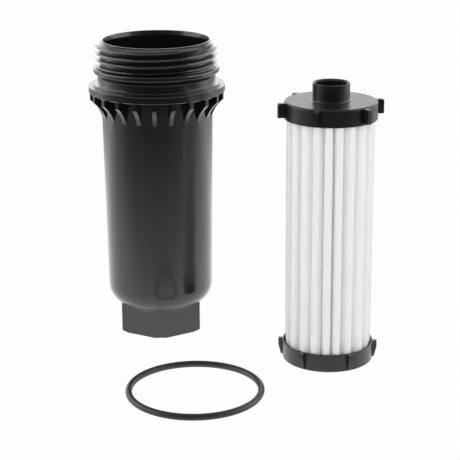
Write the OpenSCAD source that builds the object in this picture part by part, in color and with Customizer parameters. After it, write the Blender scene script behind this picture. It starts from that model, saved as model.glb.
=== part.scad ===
// Screw-in transmission filter, shown taken apart: the moulded bowl stands on its
// hexagon, the pleated cartridge stands beside it and the seal lies in front.
// Frame: millimetres, +Z up, origin in the middle of the hexagon's lower face,
// which is also the floor that the cartridge and the seal rest on.
// Azimuths run from -Y (front) towards +X.

/* [Layout] */
// cartridge axis to the right of the bowl axis
cartridge_x = 75.5; // [68:0.1:110]
// cartridge axis in front of the bowl axis
cartridge_y = -41.2; // [-80:0.1:-10]
// seal centre to the right of the bowl axis
seal_x = 17.5; // [0:0.1:25]
// seal centre in front of the bowl axis
seal_y = -81.4; // [-110:0.1:-76]

/* [Bowl] */
// distance across the flats of the hexagon
hex_af = 36; // [28:0.5:40]
// azimuth of the hexagon corner that faces the front
hex_azimuth = 1.5; // [-30:0.5:30]
// height of the 30 degree chamfer on the hexagon's corners
hex_chamfer = 0.8; // [0.3:0.1:1.2]
// thickness of the floor under the cored hexagon
base_floor = 3; // [2:0.1:5]
// height of the underside of the flange
flange_low_z = 111.9; // [90:0.1:140]
// outer radius of the bowl just under the flange
body_top_r = 25; // [23.7:0.1:25.4]
// outer radius of the bowl at its lower corner
body_low_r = 24; // [22.8:0.05:24.4]
// height where the straight wall ends and the lower corner begins
body_low_z = 21.7; // [19:0.1:25]
// radius of the lower corner, which runs into a 45 degree cone
corner_r = 10; // [4:0.5:12]
// wall of the straight part and of the cone
bowl_wall = 1.6; // [1.2:0.05:2.2]

/* [Flange and ribs] */
// outer radius of the flange
flange_r = 30.6; // [29.4:0.1:34]
// thickness of the flange
flange_t = 3.1; // [2:0.1:5]
// edge radius of the flange
flange_edge = 0.3; // [0.1:0.05:0.6]
// number of ribs under the flange
rib_count = 22; // [12:2:28]
// thickness of one rib
rib_t = 1.9; // [1:0.1:2.4]
// how far the ribs stop inside the edge of the flange
rib_inset = 0.45; // [0.2:0.05:1]
// height of the upright outer edge of a rib
rib_edge = 3.1; // [2:0.1:5]
// height of the whole rib down the wall
rib_drop = 10.8; // [8:0.1:16]
// radius of the concave sweep of a rib
rib_sweep_r = 17; // [12:0.5:30]

/* [Seal groove] */
// height of the shoulder that carries the seal above the flange
shoulder_h = 1.1; // [0.6:0.1:2]
// radius of that shoulder
shoulder_r = 28.7; // [27.8:0.1:29.2]
// radius of the groove floor
groove_r = 26.4; // [25.8:0.1:27]
// height of the bead that holds the seal in, above the groove
bead_h = 4.1; // [3.8:0.1:5]
// radius of the bead
bead_r = 28.2; // [27.8:0.1:28.4]
// radius of the two fillets that blend the bead into the groove floor
bead_fillet = 1.2; // [0.6:0.1:1.4]
// radius of the bead's rounded upper edge
bead_edge = 0.9; // [0.3:0.1:1.2]

/* [Thread] */
// radius at the root of the thread
root_r = 25.2; // [24.8:0.1:25.8]
// height of the thread ridge above its root
ridge_h = 1.9; // [0.8:0.1:2]
// advance of the thread in one turn
pitch = 3; // [2:0.1:3.5]
// width of the ridge at its root
ridge_w = 2.4; // [1.4:0.1:2.6]
// number of turns, run-in and run-out included
turns = 3.55; // [2:0.05:3.6]
// azimuth where the thread ends near the mouth
thread_azimuth = 48; // [0:1:359]
// distance from the mouth down to the end of the thread
thread_from_mouth = 1.25; // [1:0.05:2.5]

/* [Mouth] */
// height of the threaded spigot from the top of the bead to the mouth
spigot_h = 11.75; // [11.5:0.05:14]
// outer radius of the plain lip at the mouth
lip_r = 24.2; // [23.9:0.05:24.6]
// height of the plain lip
lip_h = 0.6; // [0.3:0.05:0.8]
// radius of the bore inside the threaded spigot
spigot_bore_r = 23.4; // [23.2:0.05:23.5]
// height of the lead-in at the mouth
lead_in = 2; // [1:0.1:3]

/* [Seal] */
// radius of the seal from its centre to the middle of its section
seal_r = 27.8; // [27:0.01:28.2]
// radius of the seal's section
seal_section_r = 1.39; // [1:0.01:1.6]

/* [Cartridge] */
// radius of both end caps
cap_r = 19.9; // [18:0.1:20.5]
// thickness of the end plate of each cap
cap_plate = 2; // [1.6:0.1:3]
// thickness of the skirt of each cap
skirt_t = 0.7; // [0.5:0.05:1]
// height of the lower cap
low_cap_h = 8.05; // [5:0.05:12]
// height of the upper cap from the skirt's edge to its face
top_cap_h = 7.4; // [5:0.05:12]
// height of the cartridge from the floor to the face of the upper cap
cartridge_h = 116; // [70:0.1:150]
// number of guide lugs on each cap
lug_count = 6; // [3:1:8]
// thickness of a lug
lug_t = 2; // [1.2:0.1:3]
// how far the upper lugs stop above the edge of the upper cap's skirt
top_lug_lift = 0.9; // [0:0.1:3]
// radius to the tip of the upper lugs
top_lug_r = 23.05; // [21.5:0.05:23.1]
// radius to the tip of the lower lugs
low_lug_r = 21.75; // [20.8:0.05:21.8]
// azimuth of one upper lug
top_lug_azimuth = -19.4; // [-60:0.1:60]
// azimuth of one lower lug
low_lug_azimuth = -35.5; // [-60:0.1:60]

/* [Outlet neck] */
// outer radius of the neck
neck_r = 7.94; // [7.4:0.02:8.4]
// radius of the bore in the neck
neck_bore_r = 6.9; // [6.2:0.05:7.1]
// height of the neck above the upper cap's face
neck_h = 7.7; // [5:0.1:14]
// radius of the fillet where the neck meets the cap
neck_fillet = 0.8; // [0.5:0.1:2]

/* [Centre tube] */
// outer radius of the perforated tube
tube_r = 8.7; // [8:0.1:8.9]
// wall of the tube
tube_wall = 1.2; // [0.8:0.1:1.6]
// depth of the seat for the tube in each cap's plate
tube_seat = 0.8; // [0.4:0.1:1.2]
// windows round the tube in one row
window_columns = 4; // [2:2:6]
// rows of windows
window_rows = 9; // [4:1:14]
// width of a window round the tube
window_w = 5.5; // [3:0.1:6]
// height of a window
window_h = 7.5; // [4:0.1:9]

/* [Pleated sheet] */
// number of folds
pleat_count = 20; // [15:5:25]
// thickness of the sheet
sheet_t = 0.8; // [0.5:0.05:0.9]
// half width of a rounded fold at its tip
fold_r = 1.7; // [1.3:0.05:1.75]
// half width of the open valley between two folds, at its foot
valley_r = 0.42; // [0.3:0.02:0.6]
// gap between the folds and the skirts of the caps
pleat_gap = 0.15; // [0.05:0.05:0.6]
// gap between the folds and the centre tube
core_gap = 0.5; // [0.2:0.05:1]

/* [Hidden] */

// how far two joined forms run into each other
bite = 0.4;
// gap between a piece and the seat that holds it
fit = 0.05;

// heights of the bowl, from the flange upwards
flange_top_z = flange_low_z + flange_t;
shoulder_z = flange_top_z + shoulder_h;
groove_h = 2 * seal_section_r + 0.32;
bead_low_z = shoulder_z + groove_h;
bead_top_z = bead_low_z + bead_h;
swell_low_z = bead_low_z - 0.3;
// the blend climbs at 45 degrees between its two fillets
swell_h = bead_r - groove_r + 2 * bead_fillet * (sqrt(2) - 1);
mouth_z = bead_top_z + spigot_h;

// the cone under the straight wall: its radius is its height plus this
cone_shift = body_low_r - body_low_z - corner_r + corner_r * sqrt(2);
wall_shift = bowl_wall * sqrt(2);
core_r = hex_af / 2 - 3.4;
body_bore_top_r = body_top_r - bowl_wall - 0.3;
body_bore_low_r = body_low_r - bowl_wall + 0.1;
bore_corner_r = corner_r - bowl_wall;
bore_low_z = body_bore_low_r - cone_shift + wall_shift + bore_corner_r * (sqrt(2) - 1);

// azimuth to the angle that rotate() takes
function turn(azimuth) = azimuth - 90;

// points along an arc in the radius and height plane
function arc(cx, cz, r, from, to, steps) =
    [for (i = [0:steps]) let (a = from + (to - from) * i / steps) [cx + r * cos(a), cz + r * sin(a)]];

// outside of the bowl as a half section, from the axis round to the mouth
bowl_outside = concat(
    [[0, 6], [6 + cone_shift, 6]],
    arc(body_low_r - corner_r, body_low_z, corner_r, -45, 0, 5),
    [[body_top_r, flange_low_z - 1.2],
     [body_top_r + 1.2, flange_low_z],
     [flange_r - flange_edge, flange_low_z],
     [flange_r, flange_low_z + flange_edge],
     [flange_r, flange_top_z - flange_edge],
     [flange_r - flange_edge, flange_top_z],
     [shoulder_r, flange_top_z],
     [shoulder_r, shoulder_z - 0.2],
     [shoulder_r - 0.2, shoulder_z],
     [groove_r, shoulder_z],
     [groove_r, swell_low_z - 0.3]],
    // the bead swells gently out of the groove floor
    arc(groove_r + bead_fillet, swell_low_z, bead_fillet, 180, 135, 3),
    arc(bead_r - bead_fillet, swell_low_z + swell_h, bead_fillet, -45, 0, 3),
    arc(bead_r - bead_edge, bead_top_z - bead_edge, bead_edge, 0, 80, 4),
    [[root_r, bead_top_z],
     [root_r, mouth_z - lip_h - root_r + lip_r],
     [lip_r, mouth_z - lip_h],
     [lip_r, mouth_z - 0.15],
     [lip_r - 0.15, mouth_z],
     [0, mouth_z]]
);

// inside of the bowl as a half section, from the axis round to the mouth
bowl_inside = concat(
    [[0, base_floor],
     [core_r - 0.8, base_floor],
     [core_r, base_floor + 0.8],
     [core_r, core_r - cone_shift + wall_shift]],
    arc(body_bore_low_r - bore_corner_r, bore_low_z, bore_corner_r, -45, 0, 5),
    [[body_bore_top_r, flange_low_z - 4],
     [spigot_bore_r, flange_low_z],
     [spigot_bore_r, mouth_z - lead_in],
     [lip_r - 0.45, mouth_z - 0.1],
     [lip_r - 0.35, mouth_z + 1],
     [0, mouth_z + 1]]
);

// one hexagonal foot for the wrench, its lower corners turned to a cone
module hex_foot() {
    corner = hex_af / sqrt(3);
    height = corner - cone_shift + 1;
    slope = hex_chamfer / tan(30);
    intersection() {
        rotate([0, 0, turn(hex_azimuth)])
            cylinder(r = corner, h = height, $fn = 6);
        union() {
            cylinder(r1 = corner - slope, r2 = corner, h = hex_chamfer, $fn = 96);
            translate([0, 0, hex_chamfer])
                cylinder(r = corner + 1, h = height, $fn = 96);
        }
    }
}

// the solid of revolution that the ribs are sliced from
module rib_ring() {
    outer = flange_r - rib_inset;
    top = flange_low_z + bite;
    corner = [outer, flange_low_z - rib_edge];
    foot = [body_top_r - 0.1, flange_low_z - rib_drop];
    chord = norm(corner - foot);
    middle = (corner + foot) / 2;
    depth = sqrt(rib_sweep_r * rib_sweep_r - chord * chord / 4);
    // centre of the sweep, out from the bowl and below the chord
    aside = [corner[1] - foot[1], foot[0] - corner[0]] / chord * depth;
    centre = middle + aside;
    from = atan2(foot[1] - centre[1], foot[0] - centre[0]);
    to = atan2(corner[1] - centre[1], corner[0] - centre[0]);
    inner = body_bore_top_r + bowl_wall / 2;
    rotate_extrude($fn = 180)
        polygon(concat(
            [[inner, top], [inner, foot[1]]],
            arc(centre[0], centre[1], rib_sweep_r, from < 0 ? from + 360 : from, to, 6),
            [[outer, top]]
        ));
}

module ribs() {
    rib_start = body_bore_top_r - 3;
    intersection() {
        rib_ring();
        for (i = [0:rib_count - 1])
            rotate([0, 0, turn(i * 360 / rib_count)])
                translate([rib_start, -rib_t / 2, flange_low_z - rib_drop - 1])
                    cube([flange_r - rib_start, rib_t, rib_drop + 2]);
    }
}

// screw thread: one ridge swept up a helix, thinning out at both ends
module thread() {
    steps = round(turns * 48);
    section = [[-bite, -0.6], [0.45, -0.33], [0.85, -0.2], [1, 0], [0.85, 0.2], [0.45, 0.33], [-bite, 0.6]];
    m = len(section);
    end_z = mouth_z - thread_from_mouth;
    function grow(i) = min(1, 0.12 + i / 6, 0.12 + (steps - i) / 6);
    points = [for (i = [0:steps])
        let (back = (steps - i) / 48, a = turn(thread_azimuth) - back * 360, g = grow(i))
        for (p = section)
            let (r = root_r + (p[0] < 0 ? p[0] : p[0] * ridge_h * g))
            [r * cos(a), r * sin(a), end_z - back * pitch + p[1] * ridge_w * (0.5 + 0.5 * g)]];
    sides = [for (i = [0:steps - 1]) for (j = [0:m - 1])
        let (k = (j + 1) % m, a = i * m + j, b = i * m + k, c = a + m, d = b + m)
        each [[a, b, d], [a, d, c]]];
    start = [[for (j = [0:m - 1]) m - 1 - j]];
    end = [[for (j = [0:m - 1]) steps * m + j]];
    polyhedron(points = points, faces = concat(sides, start, end), convexity = 10);
}

module housing() {
    color([0.16, 0.16, 0.17])
        difference() {
            union() {
                rotate_extrude($fn = 180) polygon(bowl_outside);
                hex_foot();
                ribs();
                thread();
            }
            rotate_extrude($fn = 180) polygon(bowl_inside);
        }
}

module o_ring() {
    color([0.1, 0.1, 0.1])
        translate([seal_x, seal_y, seal_section_r])
            rotate_extrude($fn = 180)
                translate([seal_r, 0]) circle(r = seal_section_r, $fn = 48);
}

// guide lugs round a cap; the profile is drawn from the skirt out to the tip
module lugs(azimuth, profile) {
    for (i = [0:lug_count - 1])
        rotate([0, 0, turn(azimuth + i * 360 / lug_count)])
            translate([0, lug_t / 2, 0])
                rotate([90, 0, 0])
                    linear_extrude(height = lug_t) polygon(profile);
}

module top_end_cap() {
    low = cartridge_h - top_cap_h;
    neck_top = cartridge_h + neck_h;
    inner = cap_r - skirt_t;
    color([0.2, 0.2, 0.21])
        translate([cartridge_x, cartridge_y, 0])
            difference() {
                union() {
                    rotate_extrude($fn = 120)
                        polygon(concat(
                            [[neck_bore_r, cartridge_h - cap_plate],
                             [inner - pleat_gap, cartridge_h - cap_plate],
                             [inner, cartridge_h - cap_plate - pleat_gap],
                             [inner, low],
                             [cap_r, low]],
                            arc(cap_r - 0.8, cartridge_h - 0.8, 0.8, 0, 90, 4),
                            arc(neck_r + neck_fillet, cartridge_h + neck_fillet, neck_fillet, 270, 180, 5),
                            [[neck_r, neck_top - 0.2],
                             [neck_r - 0.15, neck_top],
                             [neck_r - 0.3, neck_top],
                             [neck_bore_r, neck_top - 0.7]]
                        ));
                    lugs(top_lug_azimuth, [
                        [cap_r - skirt_t / 2, low + top_lug_lift],
                        [top_lug_r, low + top_lug_lift],
                        [top_lug_r, cartridge_h - 0.9],
                        [top_lug_r - 0.5, cartridge_h - 0.35],
                        [cap_r - skirt_t / 2, cartridge_h - 0.35]
                    ]);
                }
                // seat that holds the top of the centre tube
                translate([0, 0, cartridge_h - cap_plate - 1])
                    difference() {
                        cylinder(r = tube_r + fit, h = 1 + tube_seat, $fn = 120);
                        translate([0, 0, -1])
                            cylinder(r = tube_r - tube_wall - fit, h = 3 + tube_seat, $fn = 120);
                    }
            }
}

module bottom_end_cap() {
    inner = cap_r - skirt_t;
    color([0.24, 0.24, 0.25])
        translate([cartridge_x, cartridge_y, 0])
            difference() {
                union() {
                    rotate_extrude($fn = 120)
                        polygon(concat(
                            [[0, 0]],
                            arc(cap_r - 0.6, 0.6, 0.6, 270, 360, 3),
                            [[cap_r, low_cap_h - 0.15],
                             [cap_r - 0.15, low_cap_h],
                             [inner + 0.2, low_cap_h],
                             [inner, low_cap_h - 0.3],
                             [inner, cap_plate + pleat_gap],
                             [inner - pleat_gap, cap_plate],
                             [0, cap_plate]]
                        ));
                    // lower lugs are swept in at the bottom to find the bowl
                    lugs(low_lug_azimuth, [
                        [cap_r - skirt_t / 2, 0.7],
                        [cap_r + 0.7, 0.7],
                        [low_lug_r - 0.5, low_cap_h * 0.4],
                        [low_lug_r, low_cap_h * 0.65],
                        [low_lug_r, low_cap_h - 0.1],
                        [cap_r - skirt_t / 2, low_cap_h - 0.1]
                    ]);
                }
                // seat that holds the foot of the centre tube
                translate([0, 0, cap_plate - tube_seat])
                    difference() {
                        cylinder(r = tube_r + fit, h = 1 + tube_seat, $fn = 120);
                        translate([0, 0, -1])
                            cylinder(r = tube_r - tube_wall - fit, h = 3 + tube_seat, $fn = 120);
                    }
            }
}

// how far each fold has drifted from an even spacing, in degrees; the pattern repeats
fold_drift = [0.6, 1.9, 1.1, -2.0, -2.5];
fold_start = -43;

function fold_azimuth(i) = fold_start + i * 360 / pleat_count + fold_drift[(i + 100 * len(fold_drift)) % len(fold_drift)];
function valley_azimuth(i) = (fold_azimuth(i) + fold_azimuth(i + 1)) / 2;

// a point given along and across the direction of an azimuth
function place(azimuth, along, across) =
    let (a = turn(azimuth)) [along * cos(a) - across * sin(a), along * sin(a) + across * cos(a)];

// one face of the folded sheet: round the tip of each fold, then round the foot of its valley
function sheet_face(tip_r, foot_r, tip_at, foot_at) =
    [for (i = [0:pleat_count - 1]) each concat(
        [for (a = [-90:36:90]) place(fold_azimuth(i), tip_at + tip_r * cos(a), tip_r * sin(a))],
        [for (a = [-75:50:75]) place(valley_azimuth(i), foot_at - foot_r * cos(a), foot_r * sin(a))]
    )];

module pleated_sheet() {
    tip_at = cap_r - skirt_t - pleat_gap - fold_r;
    foot_at = tube_r + core_gap + sheet_t + valley_r;
    color([0.94, 0.94, 0.93])
        translate([cartridge_x, cartridge_y, cap_plate])
            linear_extrude(height = cartridge_h - 2 * cap_plate)
                difference() {
                    polygon(sheet_face(fold_r, valley_r, tip_at, foot_at));
                    polygon(sheet_face(fold_r - sheet_t, valley_r + sheet_t, tip_at, foot_at));
                }
}

module centre_tube() {
    low = cap_plate - tube_seat;
    height = cartridge_h - 2 * low;
    row = (height - 2 * cap_plate) / window_rows;
    color([0.3, 0.3, 0.31])
        translate([cartridge_x, cartridge_y, low])
            difference() {
                cylinder(r = tube_r, h = height, $fn = 96);
                translate([0, 0, -1])
                    cylinder(r = tube_r - tube_wall, h = height + 2, $fn = 96);
                for (k = [0:window_rows - 1])
                    for (i = [0:window_columns / 2 - 1])
                        translate([0, 0, cap_plate + (k + 0.5) * row])
                            rotate([0, 0, turn(top_lug_azimuth + i * 360 / window_columns)])
                                cube([3 * tube_r, window_w, window_h], center = true);
            }
}

housing();
o_ring();
top_end_cap();
bottom_end_cap();
pleated_sheet();
centre_tube();
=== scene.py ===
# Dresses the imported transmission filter: bowl, pleated cartridge and seal.
# All lengths are metres; azimuths run from -Y (the front) towards +X.
import math
import bpy
import numpy as np
from mathutils import Matrix, Vector


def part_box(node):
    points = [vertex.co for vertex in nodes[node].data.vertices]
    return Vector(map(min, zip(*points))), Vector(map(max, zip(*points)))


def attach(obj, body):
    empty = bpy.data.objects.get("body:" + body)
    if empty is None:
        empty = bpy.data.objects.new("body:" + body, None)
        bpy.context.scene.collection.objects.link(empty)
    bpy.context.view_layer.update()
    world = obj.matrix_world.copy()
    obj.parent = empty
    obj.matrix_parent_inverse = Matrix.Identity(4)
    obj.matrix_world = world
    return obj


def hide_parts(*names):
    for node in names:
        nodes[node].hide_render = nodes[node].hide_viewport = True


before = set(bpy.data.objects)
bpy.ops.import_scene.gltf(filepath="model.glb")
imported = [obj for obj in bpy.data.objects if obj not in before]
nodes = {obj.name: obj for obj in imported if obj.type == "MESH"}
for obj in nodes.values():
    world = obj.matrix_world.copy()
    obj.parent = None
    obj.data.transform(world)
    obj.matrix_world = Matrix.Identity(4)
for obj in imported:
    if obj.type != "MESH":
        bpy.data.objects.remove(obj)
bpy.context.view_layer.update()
print("frame loaded:", sorted(nodes))


def link(tree, slot, value):
    if isinstance(value, Wire):
        tree.links.new(value.socket, slot)
    else:
        slot.default_value = value


# One socket that can be added, multiplied and so on like a number.
class Wire:
    def __init__(self, tree, socket):
        self.tree = tree
        self.socket = socket

    def math(self, operation, *values, clamp=False):
        node = self.tree.nodes.new("ShaderNodeMath")
        node.operation = operation
        node.use_clamp = clamp
        for slot, value in zip(node.inputs, values):
            link(self.tree, slot, value)
        return Wire(self.tree, node.outputs[0])

    def __add__(self, other): return self.math("ADD", self, other)
    def __sub__(self, other): return self.math("SUBTRACT", self, other)
    def __rsub__(self, other): return self.math("SUBTRACT", other, self)
    def __mul__(self, other): return self.math("MULTIPLY", self, other)
    def __truediv__(self, other): return self.math("DIVIDE", self, other)
    def __abs__(self): return self.math("ABSOLUTE", self)

    def clamp(self):
        return self.math("MULTIPLY", self, 1.0, clamp=True)


# A material's tree, with one method that makes any node.
class Shader:
    def __init__(self, name):
        self.material = bpy.data.materials.new(name)
        self.material.use_nodes = True
        self.tree = self.material.node_tree
        self.tree.nodes.clear()
        self.out = self.tree.nodes.new("ShaderNodeOutputMaterial")

    def node(self, kind, output=0, **values):
        made = self.tree.nodes.new("ShaderNode" + kind)
        for key, value in values.items():
            link(self.tree, made.inputs[key.replace("_", " ")], value)
        return Wire(self.tree, made.outputs[output])

    # a ramp of greys, given as places and their brightness
    def ramp(self, amount, stops):
        made = self.tree.nodes.new("ShaderNodeValToRGB")
        elements = made.color_ramp.elements
        while len(elements) < len(stops):
            elements.new(0.5)
        for stop, (place, shade) in zip(elements, stops):
            stop.position = place
            stop.color = (shade, shade, shade, 1)
        link(self.tree, made.inputs[0], amount)
        return Wire(self.tree, made.outputs[0])

    def objectPoint(self, scale=(1, 1, 1), turn=(0, 0, 0)):
        point = self.node("TexCoord", output="Object")
        return self.node("Mapping", Vector=point, Scale=scale, Rotation=turn)

    def noise(self, point, size, detail, roughness=0.55):
        return self.node("TexNoise", Vector=point, Scale=1 / size, Detail=detail, Roughness=roughness)

    def blend(self, amount, first, second):
        mix = self.tree.nodes.new("ShaderNodeMix")
        mix.data_type = "RGBA"
        for slot, value in (("Factor", amount), (6, first), (7, second)):
            link(self.tree, mix.inputs[slot], (*value, 1) if isinstance(value, tuple) else value)
        return Wire(self.tree, mix.outputs[2])

    def bump(self, height, depth, strength, **under):
        return self.node("Bump", Height=height, Distance=depth, Strength=strength, **under)

    def finish(self, **values):
        surface = self.node("BsdfPrincipled", output="BSDF", **values)
        self.tree.links.new(surface.socket, self.out.inputs["Surface"])
        return self.material


# Black moulded plastic: fine spark grain, soft flow clouds, faint draw lines up the wall and rubs,
# all under a thin clear skin.
def mouldedPlastic(name, look):
    made = Shader(name)
    point = made.objectPoint()
    clouds = made.noise(point, look["cloudSize"], detail=3)
    grain = made.noise(point, look["grainSize"], detail=3, roughness=0.7)
    linePoint = made.objectPoint(scale=look["lineStretch"])
    lines = made.noise(linePoint, look["lineSize"], detail=2, roughness=0.5)
    rubPoint = made.objectPoint(scale=look["rubStretch"], turn=look["rubTurn"])
    rubs = made.noise(rubPoint, look["rubSize"], detail=6, roughness=0.8)
    rubs = made.ramp(rubs, look["rubEdge"])
    tone = made.blend(clouds, look["dark"], look["light"])
    tone = made.blend(rubs * look["rubShare"], tone, look["rubTone"])
    rough = ((clouds - 0.5) * look["cloudRough"] + (lines - 0.5) * look["lineRough"]
             + rubs * look["rubRough"] + look["roughness"])
    relief = made.bump(lines, look["lineDepth"], strength=0.6)
    relief = made.bump(grain, look["grainDepth"], strength=0.8, Normal=relief)
    return made.finish(Base_Color=tone, Roughness=rough, Normal=relief,
                       Specular_IOR_Level=look["shine"], Specular_Tint=look["tint"],
                       Coat_Weight=look["skin"], Coat_Roughness=look["skinRoughness"])


housingLook = dict(dark=(0.0030, 0.0038, 0.0041), light=(0.0056, 0.0067, 0.0071),
                   roughness=0.17, shine=0.45, tint=(0.93, 1.0, 1.04, 1),
                   skin=1.0, skinRoughness=0.19,
                   cloudSize=0.03, cloudRough=0.08, grainSize=0.00035, grainDepth=0.000008,
                   lineSize=0.0012, lineStretch=(1, 1, 0.04), lineRough=0.04, lineDepth=0.000006,
                   rubTone=(0.02, 0.022, 0.023), rubShare=0.2, rubSize=0.006, rubRough=0.08,
                   rubStretch=(1, 1, 0.35), rubTurn=(0.5, 0.3, 0.2), rubEdge=((0.58, 0.0), (0.72, 1.0)))
capLook = dict(housingLook, dark=(0.0032, 0.0034, 0.0036), light=(0.0062, 0.0064, 0.0066),
               roughness=0.34, shine=0.35, tint=(1, 1, 1, 1), skin=0.8, skinRoughness=0.33,
               cloudSize=0.004, cloudRough=0.16, grainSize=0.0011, grainDepth=0.000035)
tubeLook = dict(capLook, roughness=0.36)


# Black rubber: matt bloom in soft patches over a slight sheen, with a fine moulding texture.
def rubber(name, look):
    made = Shader(name)
    point = made.objectPoint()
    bloom = made.noise(point, look["bloomSize"], detail=5, roughness=0.65)
    grain = made.noise(point, look["grainSize"], detail=2, roughness=0.6)
    tone = made.blend(bloom, look["dark"], look["light"])
    rough = (bloom - 0.5) * look["bloomRough"] + look["roughness"]
    return made.finish(Base_Color=tone, Roughness=rough, IOR=1.52, Specular_IOR_Level=0.8,
                       Normal=made.bump(grain, look["grainDepth"], strength=0.7))


sealLook = dict(dark=(0.008, 0.008, 0.0088), light=(0.016, 0.016, 0.0172), roughness=0.40,
                bloomSize=0.006, bloomRough=0.2, grainSize=0.0003, grainDepth=0.00001)


# White non-woven felt: fibres in three crossing directions, small thick and thin spots.
def filterFelt(name, look):
    made = Shader(name)
    strands = []
    for turn, stretch in look["strands"]:
        point = made.objectPoint(scale=stretch, turn=turn)
        strands.append(made.noise(point, look["fibreSize"], detail=4, roughness=0.7))
    fibres = (strands[0] + strands[1] + strands[2]) / len(strands)
    spots = made.noise(made.objectPoint(), look["spotSize"], detail=3)
    mask = (fibres - 0.5) * look["fibreContrast"] + (spots - 0.5) * look["spotContrast"] + 0.5
    tone = made.blend(mask.clamp(), look["shade"], look["light"])
    relief = made.bump(fibres, look["fibreDepth"], strength=0.8)
    return made.finish(Base_Color=tone, Roughness=0.85, Normal=relief, Specular_IOR_Level=0.25,
                       Subsurface_Weight=look["soft"], Subsurface_Scale=look["softReach"],
                       Subsurface_Radius=(1, 0.98, 0.92), Sheen_Weight=0.15)


# each strand layer has its turn and its stretch
feltLook = dict(shade=(0.955, 0.943, 0.915), light=(0.985, 0.977, 0.958),
                strands=(((0, 0, 0.2), (1, 1, 0.18)), ((0.6, 0, 1.1), (1, 1, 0.22)),
                         ((-0.7, 0.3, 0.5), (1, 1, 0.2))),
                fibreSize=0.0005, fibreContrast=2.2, fibreDepth=0.00010,
                spotSize=0.004, spotContrast=0.8, soft=0.5, softReach=0.004)

housingPlastic = mouldedPlastic("housingPlastic", housingLook)
capPlastic = mouldedPlastic("capPlastic", capLook)
tubePlastic = mouldedPlastic("tubePlastic", tubeLook)
sealRubber = rubber("sealRubber", sealLook)
felt = filterFelt("filterFelt", feltLook)

for nodeName, finish in (("housing", housingPlastic), ("o_ring", sealRubber),
                         ("top_end_cap", capPlastic), ("bottom_end_cap", capPlastic),
                         ("centre_tube", tubePlastic)):
    for slot in nodes[nodeName].material_slots:
        slot.material = finish
print("materials ready")


# A mesh from an array of rows by columns by three. Closed, the last row and the last column of
# faces lead back to the first ones.
def gridMesh(name, points, closed=False):
    rows, cols = points.shape[:2]
    index = np.arange(rows * cols).reshape(rows, cols)
    right, up = np.roll(index, -1, 1), np.roll(index, -1, 0)
    faces = np.stack([index, right, np.roll(right, -1, 0), up], -1)
    if not closed:
        faces = faces[:-1, :-1]
    faces = faces.reshape(-1, 4)
    mesh = bpy.data.meshes.new(name)
    mesh.from_pydata(points.reshape(-1, 3).tolist(), [], faces.tolist())
    mesh.polygons.foreach_set("use_smooth", np.ones(len(faces), bool))
    mesh.update()
    piece = bpy.data.objects.new(name, mesh)
    bpy.context.collection.objects.link(piece)
    return piece


# Angles are degrees. Each wave of the wander has its share and its rate, radians over the height.
pleatLook = dict(count=20, start=-43.0, drift=(0.6, 1.9, 1.1, -2.0, -2.5), seed=7,
                 sheet=0.0008, fold=0.0017, valley=0.00042, tubeRadius=0.00872, tubeGap=0.0005,
                 levels=60, tipPoints=9, footPoints=5, flankPoints=12, footAngle=80,
                 lean=1.3, sway=0.45, waves=((1.0, 2.1), (0.45, 5.3), (0.2, 11)),
                 swell=0.05, swellRate=3.3, topEnd=0.03, lowEnd=0.05, pinch=0.10,
                 inset=0.00012, pinchInset=0.0002,
                 close=0.88, shoulder=0.17, rise=0.13, fall=0.15,
                 gape=0.6, gapeMiddle=0.6, gapeLeast=0.1)
sheetLow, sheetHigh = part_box("pleated_sheet")
axis = (sheetLow + sheetHigh) / 2


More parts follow.
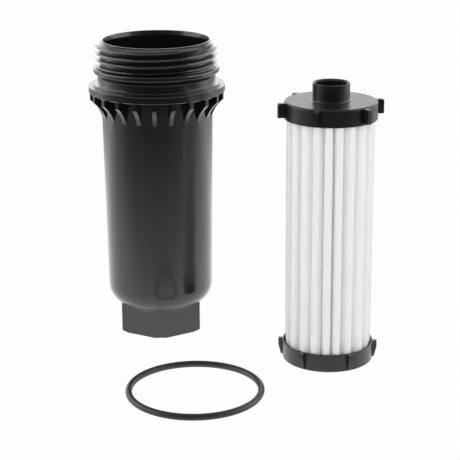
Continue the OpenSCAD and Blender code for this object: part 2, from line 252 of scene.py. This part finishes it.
# One face of the folded sheet. At each level the curve goes round a half circle at each fold's tip
# and back round a smaller one at each valley's foot; the folds' azimuths lean and wander a little
# from level to level, and the tips swell and shrink. The offset moves the face into the sheet.
def pleatFace(look, levels, offset):
    order = np.arange(look["count"])
    rng = np.random.default_rng(look["seed"])
    height = levels[:, None]
    drift = np.array(look["drift"])[order % len(look["drift"])]
    fold = look["start"] + order * 360 / len(order) + drift
    phase = rng.uniform(0, 2 * np.pi, (3, len(order)))
    size = rng.normal(0, 1, (3, len(order)))
    wander = sum(share * size[n] * np.sin(height * rate + phase[n])
                 for n, (share, rate) in enumerate(look["waves"]))
    wander *= look["lean"] * np.sin(np.pi * height) ** 0.5 * look["sway"]
    # 1 where a cap holds the folds, falling away from both ends
    pinch = np.exp(-((1 - height) / look["topEnd"])) + np.exp(-(height / look["lowEnd"]))
    foldAt = np.radians(fold + wander - 90)
    valleyAt = (foldAt + np.roll(foldAt, -1, 1)) / 2
    valleyAt[:, -1] += np.pi
    swell = (1 + look["swell"] * size[1] * np.sin(height * look["swellRate"] + phase[2])
             - look["pinch"] * pinch)
    outer = (sheetHigh.x - sheetLow.x) / 2
    tipR = look["fold"] * swell - offset
    tipCentre = outer - look["fold"] * np.maximum(swell, 1) - look["inset"]
    tipCentre = tipCentre - look["pinchInset"] * pinch
    footR = look["valley"] + offset
    footCentre = look["tubeRadius"] + look["tubeGap"] + look["sheet"] + look["valley"]
    around = np.radians(np.linspace(-90, 90, look["tipPoints"]))
    back = np.radians(np.linspace(-look["footAngle"], look["footAngle"], look["footPoints"]))
    tip = np.stack([tipCentre[..., None] + tipR[..., None] * np.cos(around),
                    tipR[..., None] * np.sin(around)], -1)
    foot = np.stack([footCentre - footR * np.cos(back), footR * np.sin(back)], -1)

    def turned(local, angle):
        c, s = np.cos(angle)[..., None], np.sin(angle)[..., None]
        x, y = local[..., 0], local[..., 1]
        return np.stack([x * c - y * s, x * s + y * c], -1)

    def swollen(flank, share):
        radius = np.hypot(flank[..., 0], flank[..., 1])
        angle = np.arctan2(flank[..., 1], flank[..., 0])
        away = (valleyAt[..., None] - angle + np.pi) % (2 * np.pi) - np.pi
        # the inner face moves as far as the outer one, so that the sheet keeps its thickness
        away = np.sign(away) * np.maximum(np.abs(away) - offset / radius, 0)
        angle = angle + away * share
        return np.stack([radius * np.cos(angle), radius * np.sin(angle)], -1)

    tipXY, footXY = turned(tip, foldAt), turned(foot, valleyAt)
    steps = np.linspace(0, 1, look["flankPoints"] + 2)[1:-1]
    down = steps[:, None]
    flankIn = tipXY[:, :, -1:, :] * (1 - down) + footXY[:, :, :1, :] * down
    nextTip = np.roll(tipXY, -1, 1)[:, :, :1, :]
    flankOut = footXY[:, :, -1:, :] * (1 - down) + nextTip * down
    # the flanks swell towards the middle of the valley behind the tip, so that it nearly closes,
    # and some valleys gape at the caps
    rise = np.clip((steps - look["shoulder"]) / look["rise"], 0, 1)
    bulge = rise * rise * (3 - 2 * rise) * np.clip((1 - steps) / look["fall"], 0, 1)
    gape = look["gape"] * np.clip(pinch, 0, 1)
    gape = gape * np.clip(look["gapeMiddle"] + size[2], look["gapeLeast"], 1)
    bulge = bulge * (look["close"] * (1 - gape))[..., None]
    curves = [tipXY, swollen(flankIn, bulge), footXY, swollen(flankOut, bulge[..., ::-1])]
    xy = np.concatenate(curves, 2).reshape(len(levels), -1, 2)
    z = sheetLow.z + levels * (sheetHigh.z - sheetLow.z)
    z = np.broadcast_to(z[:, None, None], xy.shape[:2] + (1,))
    return np.concatenate([xy + np.array([axis.x, axis.y]), z], -1)


levels = np.linspace(0, 1, pleatLook["levels"])
outside = pleatFace(pleatLook, levels, 0.0)
inside = pleatFace(pleatLook, levels, pleatLook["sheet"])
folded = gridMesh("folded_sheet", np.concatenate([outside, inside[::-1]]), closed=True)
folded.data.materials.append(felt)
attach(folded, "root")
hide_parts("pleated_sheet")
print("folded sheet:", len(folded.data.polygons), "faces")


# Pitch and roll are radians; the focal length counts pixels of the square picture.
viewLook = dict(place=(0.0324965, -0.654474, 0.251579), pitch=0.3046, roll=-0.0054,
                focal=1481.6, frameSize=460, sensor=36)
pitch, roll = viewLook["pitch"], viewLook["roll"]
forward = Vector((0, math.cos(pitch), -math.sin(pitch)))
upward = Vector((0, math.sin(pitch), math.cos(pitch)))
sideways = Vector((1, 0, 0))
camRight = sideways * math.cos(roll) + upward * math.sin(roll)
camUp = upward * math.cos(roll) - sideways * math.sin(roll)
camera = bpy.data.objects.new("camera", bpy.data.cameras.new("camera"))
bpy.context.collection.objects.link(camera)
turnTo = Matrix((camRight, camUp, -forward)).transposed().to_4x4()
camera.matrix_world = Matrix.Translation(viewLook["place"]) @ turnTo
camera.data.lens = viewLook["sensor"] * viewLook["focal"] / viewLook["frameSize"]
camera.data.sensor_width = viewLook["sensor"]
bpy.context.scene.camera = camera

# Painted reflection: the table's glow, seen only in the plastic's reflections, is a painted pool of
# light, bright round the pieces and fading towards the camera, where the room is dark; the picture
# itself sees a white table.
# The glow's places are shares of the reach: in front, to either side and behind.
floorLook = dict(size=6.0, sink=0.00002, albedo=0.88, whiteShare=0.97,
                 reach=0.8, middle=0.03, recovery=5.0,
                 ahead=((0.06, 1.0), (0.15, 0.60), (0.275, 0.40), (0.35, 0.30), (0.4375, 0.18),
                        (0.475, 0.12), (0.5375, 0.04), (0.60, 0.02)),
                 aside=((0.10, 1.0), (0.25, 0.86), (0.42, 0.58), (0.75, 0.40)),
                 beyond=((0.22, 1.0), (0.33, 0.75), (0.42, 0.50), (0.65, 0.35)))
half = floorLook["size"] / 2
corner = np.array([[[-half, -half, 0], [half, -half, 0]], [[-half, half, 0], [half, half, 0]]])
floor = gridMesh("floor", corner - np.array([0, 0, floorLook["sink"]]))
paper = Shader("paleFloor")
spot = paper.node("TexCoord", output="Object")
aheadOf = paper.node("SeparateXYZ", Vector=spot, output="Y") * (-1 / floorLook["reach"])
asideOf = abs(paper.node("SeparateXYZ", Vector=spot, output="X") - floorLook["middle"])
aheadPaintedGlow = paper.ramp(aheadOf, floorLook["ahead"])
asidePaintedGlow = paper.ramp(asideOf / floorLook["reach"], floorLook["aside"])
beyondPaintedGlow = paper.ramp(aheadOf * -1.0, floorLook["beyond"])
# behind the pieces the table is as bright at the sides as in the middle
behind = (aheadOf * -floorLook["recovery"]).clamp()
across = asidePaintedGlow + (1 - asidePaintedGlow) * behind
black, white = (0.0, 0.0, 0.0), (1.0, 1.0, 1.0)
# painted reflection: the colour of the painted pool of light that glossy rays see on the table
mirrored = paper.blend(aheadPaintedGlow * across * beyondPaintedGlow, black, white)
seenRay = paper.node("LightPath", output="Is Camera Ray")
mirrorRay = paper.node("LightPath", output="Is Glossy Ray")
plain = paper.node("BsdfDiffuse", Color=(*[floorLook["albedo"]] * 3, 1))
glow = paper.node("Emission", Color=paper.blend(mirrorRay, white, mirrored), Strength=1.0)
mixed = paper.tree.nodes.new("ShaderNodeMixShader")
for slot, value in zip(mixed.inputs, (seenRay * floorLook["whiteShare"] + mirrorRay, plain, glow)):
    link(paper.tree, slot, value)
paper.tree.links.new(mixed.outputs[0], paper.out.inputs["Surface"])
floor.data.materials.append(paper.material)

# The fill stands for a flagged lamp: it lights the felt and the plastic doesn't mirror it.
lamps = (
    dict(name="overhead", place=(0.05, 0.30, 1.3), aim=(0.03, -0.05, 0.06), size=(1.8, 1.4),
         power=3.0, mirrored=True),
    dict(name="leftBox", place=(-1.1, 0.05, 0.55), aim=(0.03, -0.03, 0.10), size=(1.5, 1.1),
         power=5.5, mirrored=True),
    dict(name="rightBox", place=(1.2, 0.05, 0.55), aim=(0.03, -0.03, 0.10), size=(1.5, 1.1),
         power=5.5, mirrored=True),
    dict(name="frontFill", place=(0.0, -1.8, 0.70), aim=(0.03, -0.03, 0.06), size=(2.4, 1.0),
         power=25.5, mirrored=False),
)
for lamp in lamps:
    light = bpy.data.lights.new(lamp["name"], "AREA")
    light.shape = "RECTANGLE"
    light.size, light.size_y = lamp["size"]
    light.energy = lamp["power"]
    stand = bpy.data.objects.new(lamp["name"], light)
    stand.location = lamp["place"]
    stand.visible_glossy = lamp["mirrored"]
    towards = Vector(lamp["aim"]) - Vector(lamp["place"])
    stand.rotation_euler = towards.to_track_quat("-Z", "Y").to_euler()
    bpy.context.collection.objects.link(stand)

# A bright wall behind, paler ones at the sides, a dark room in front and a dim ceiling. Each
# share grows from 0 to 1 with the direction: its rise times the direction, plus its start.
skyLook = dict(front=0.08, side=0.6, back=1.5, ceiling=0.14, sideRise=1.4, sideStart=1.3,
               backRise=1.2, ceilingRise=2.5, ceilingStart=-0.5)
world = bpy.data.worlds.new("studio")
world.use_nodes = True
bpy.context.scene.world = world
sky = world.node_tree
sky.nodes.clear()
skyOut = sky.nodes.new("ShaderNodeOutputWorld")
background = sky.nodes.new("ShaderNodeBackground")
path = sky.nodes.new("ShaderNodeLightPath")
heading = sky.nodes.new("ShaderNodeSeparateXYZ")
where = sky.nodes.new("ShaderNodeTexCoord")
sky.links.new(where.outputs["Generated"], heading.inputs[0])
seen = Wire(sky, path.outputs["Is Camera Ray"])
ahead = Wire(sky, heading.outputs["Y"])
height = Wire(sky, heading.outputs["Z"])
sideShare = (ahead * skyLook["sideRise"] + skyLook["sideStart"]).clamp()
backShare = (ahead * skyLook["backRise"]).clamp()
ceilingShare = (height * skyLook["ceilingRise"] + skyLook["ceilingStart"]).clamp()
beside = sideShare * (skyLook["side"] - skyLook["front"]) + skyLook["front"]
wall = backShare * (skyLook["back"] - skyLook["side"]) + beside
around = wall + (skyLook["ceiling"] - wall) * ceilingShare
background.inputs["Color"].default_value = (1, 1, 1, 1)
link(sky, background.inputs["Strength"], around + seen * (1.0 - around))
sky.links.new(background.outputs[0], skyOut.inputs["Surface"])

bpy.context.scene.view_settings.view_transform = "Standard"
print("camera, floor and light ready")
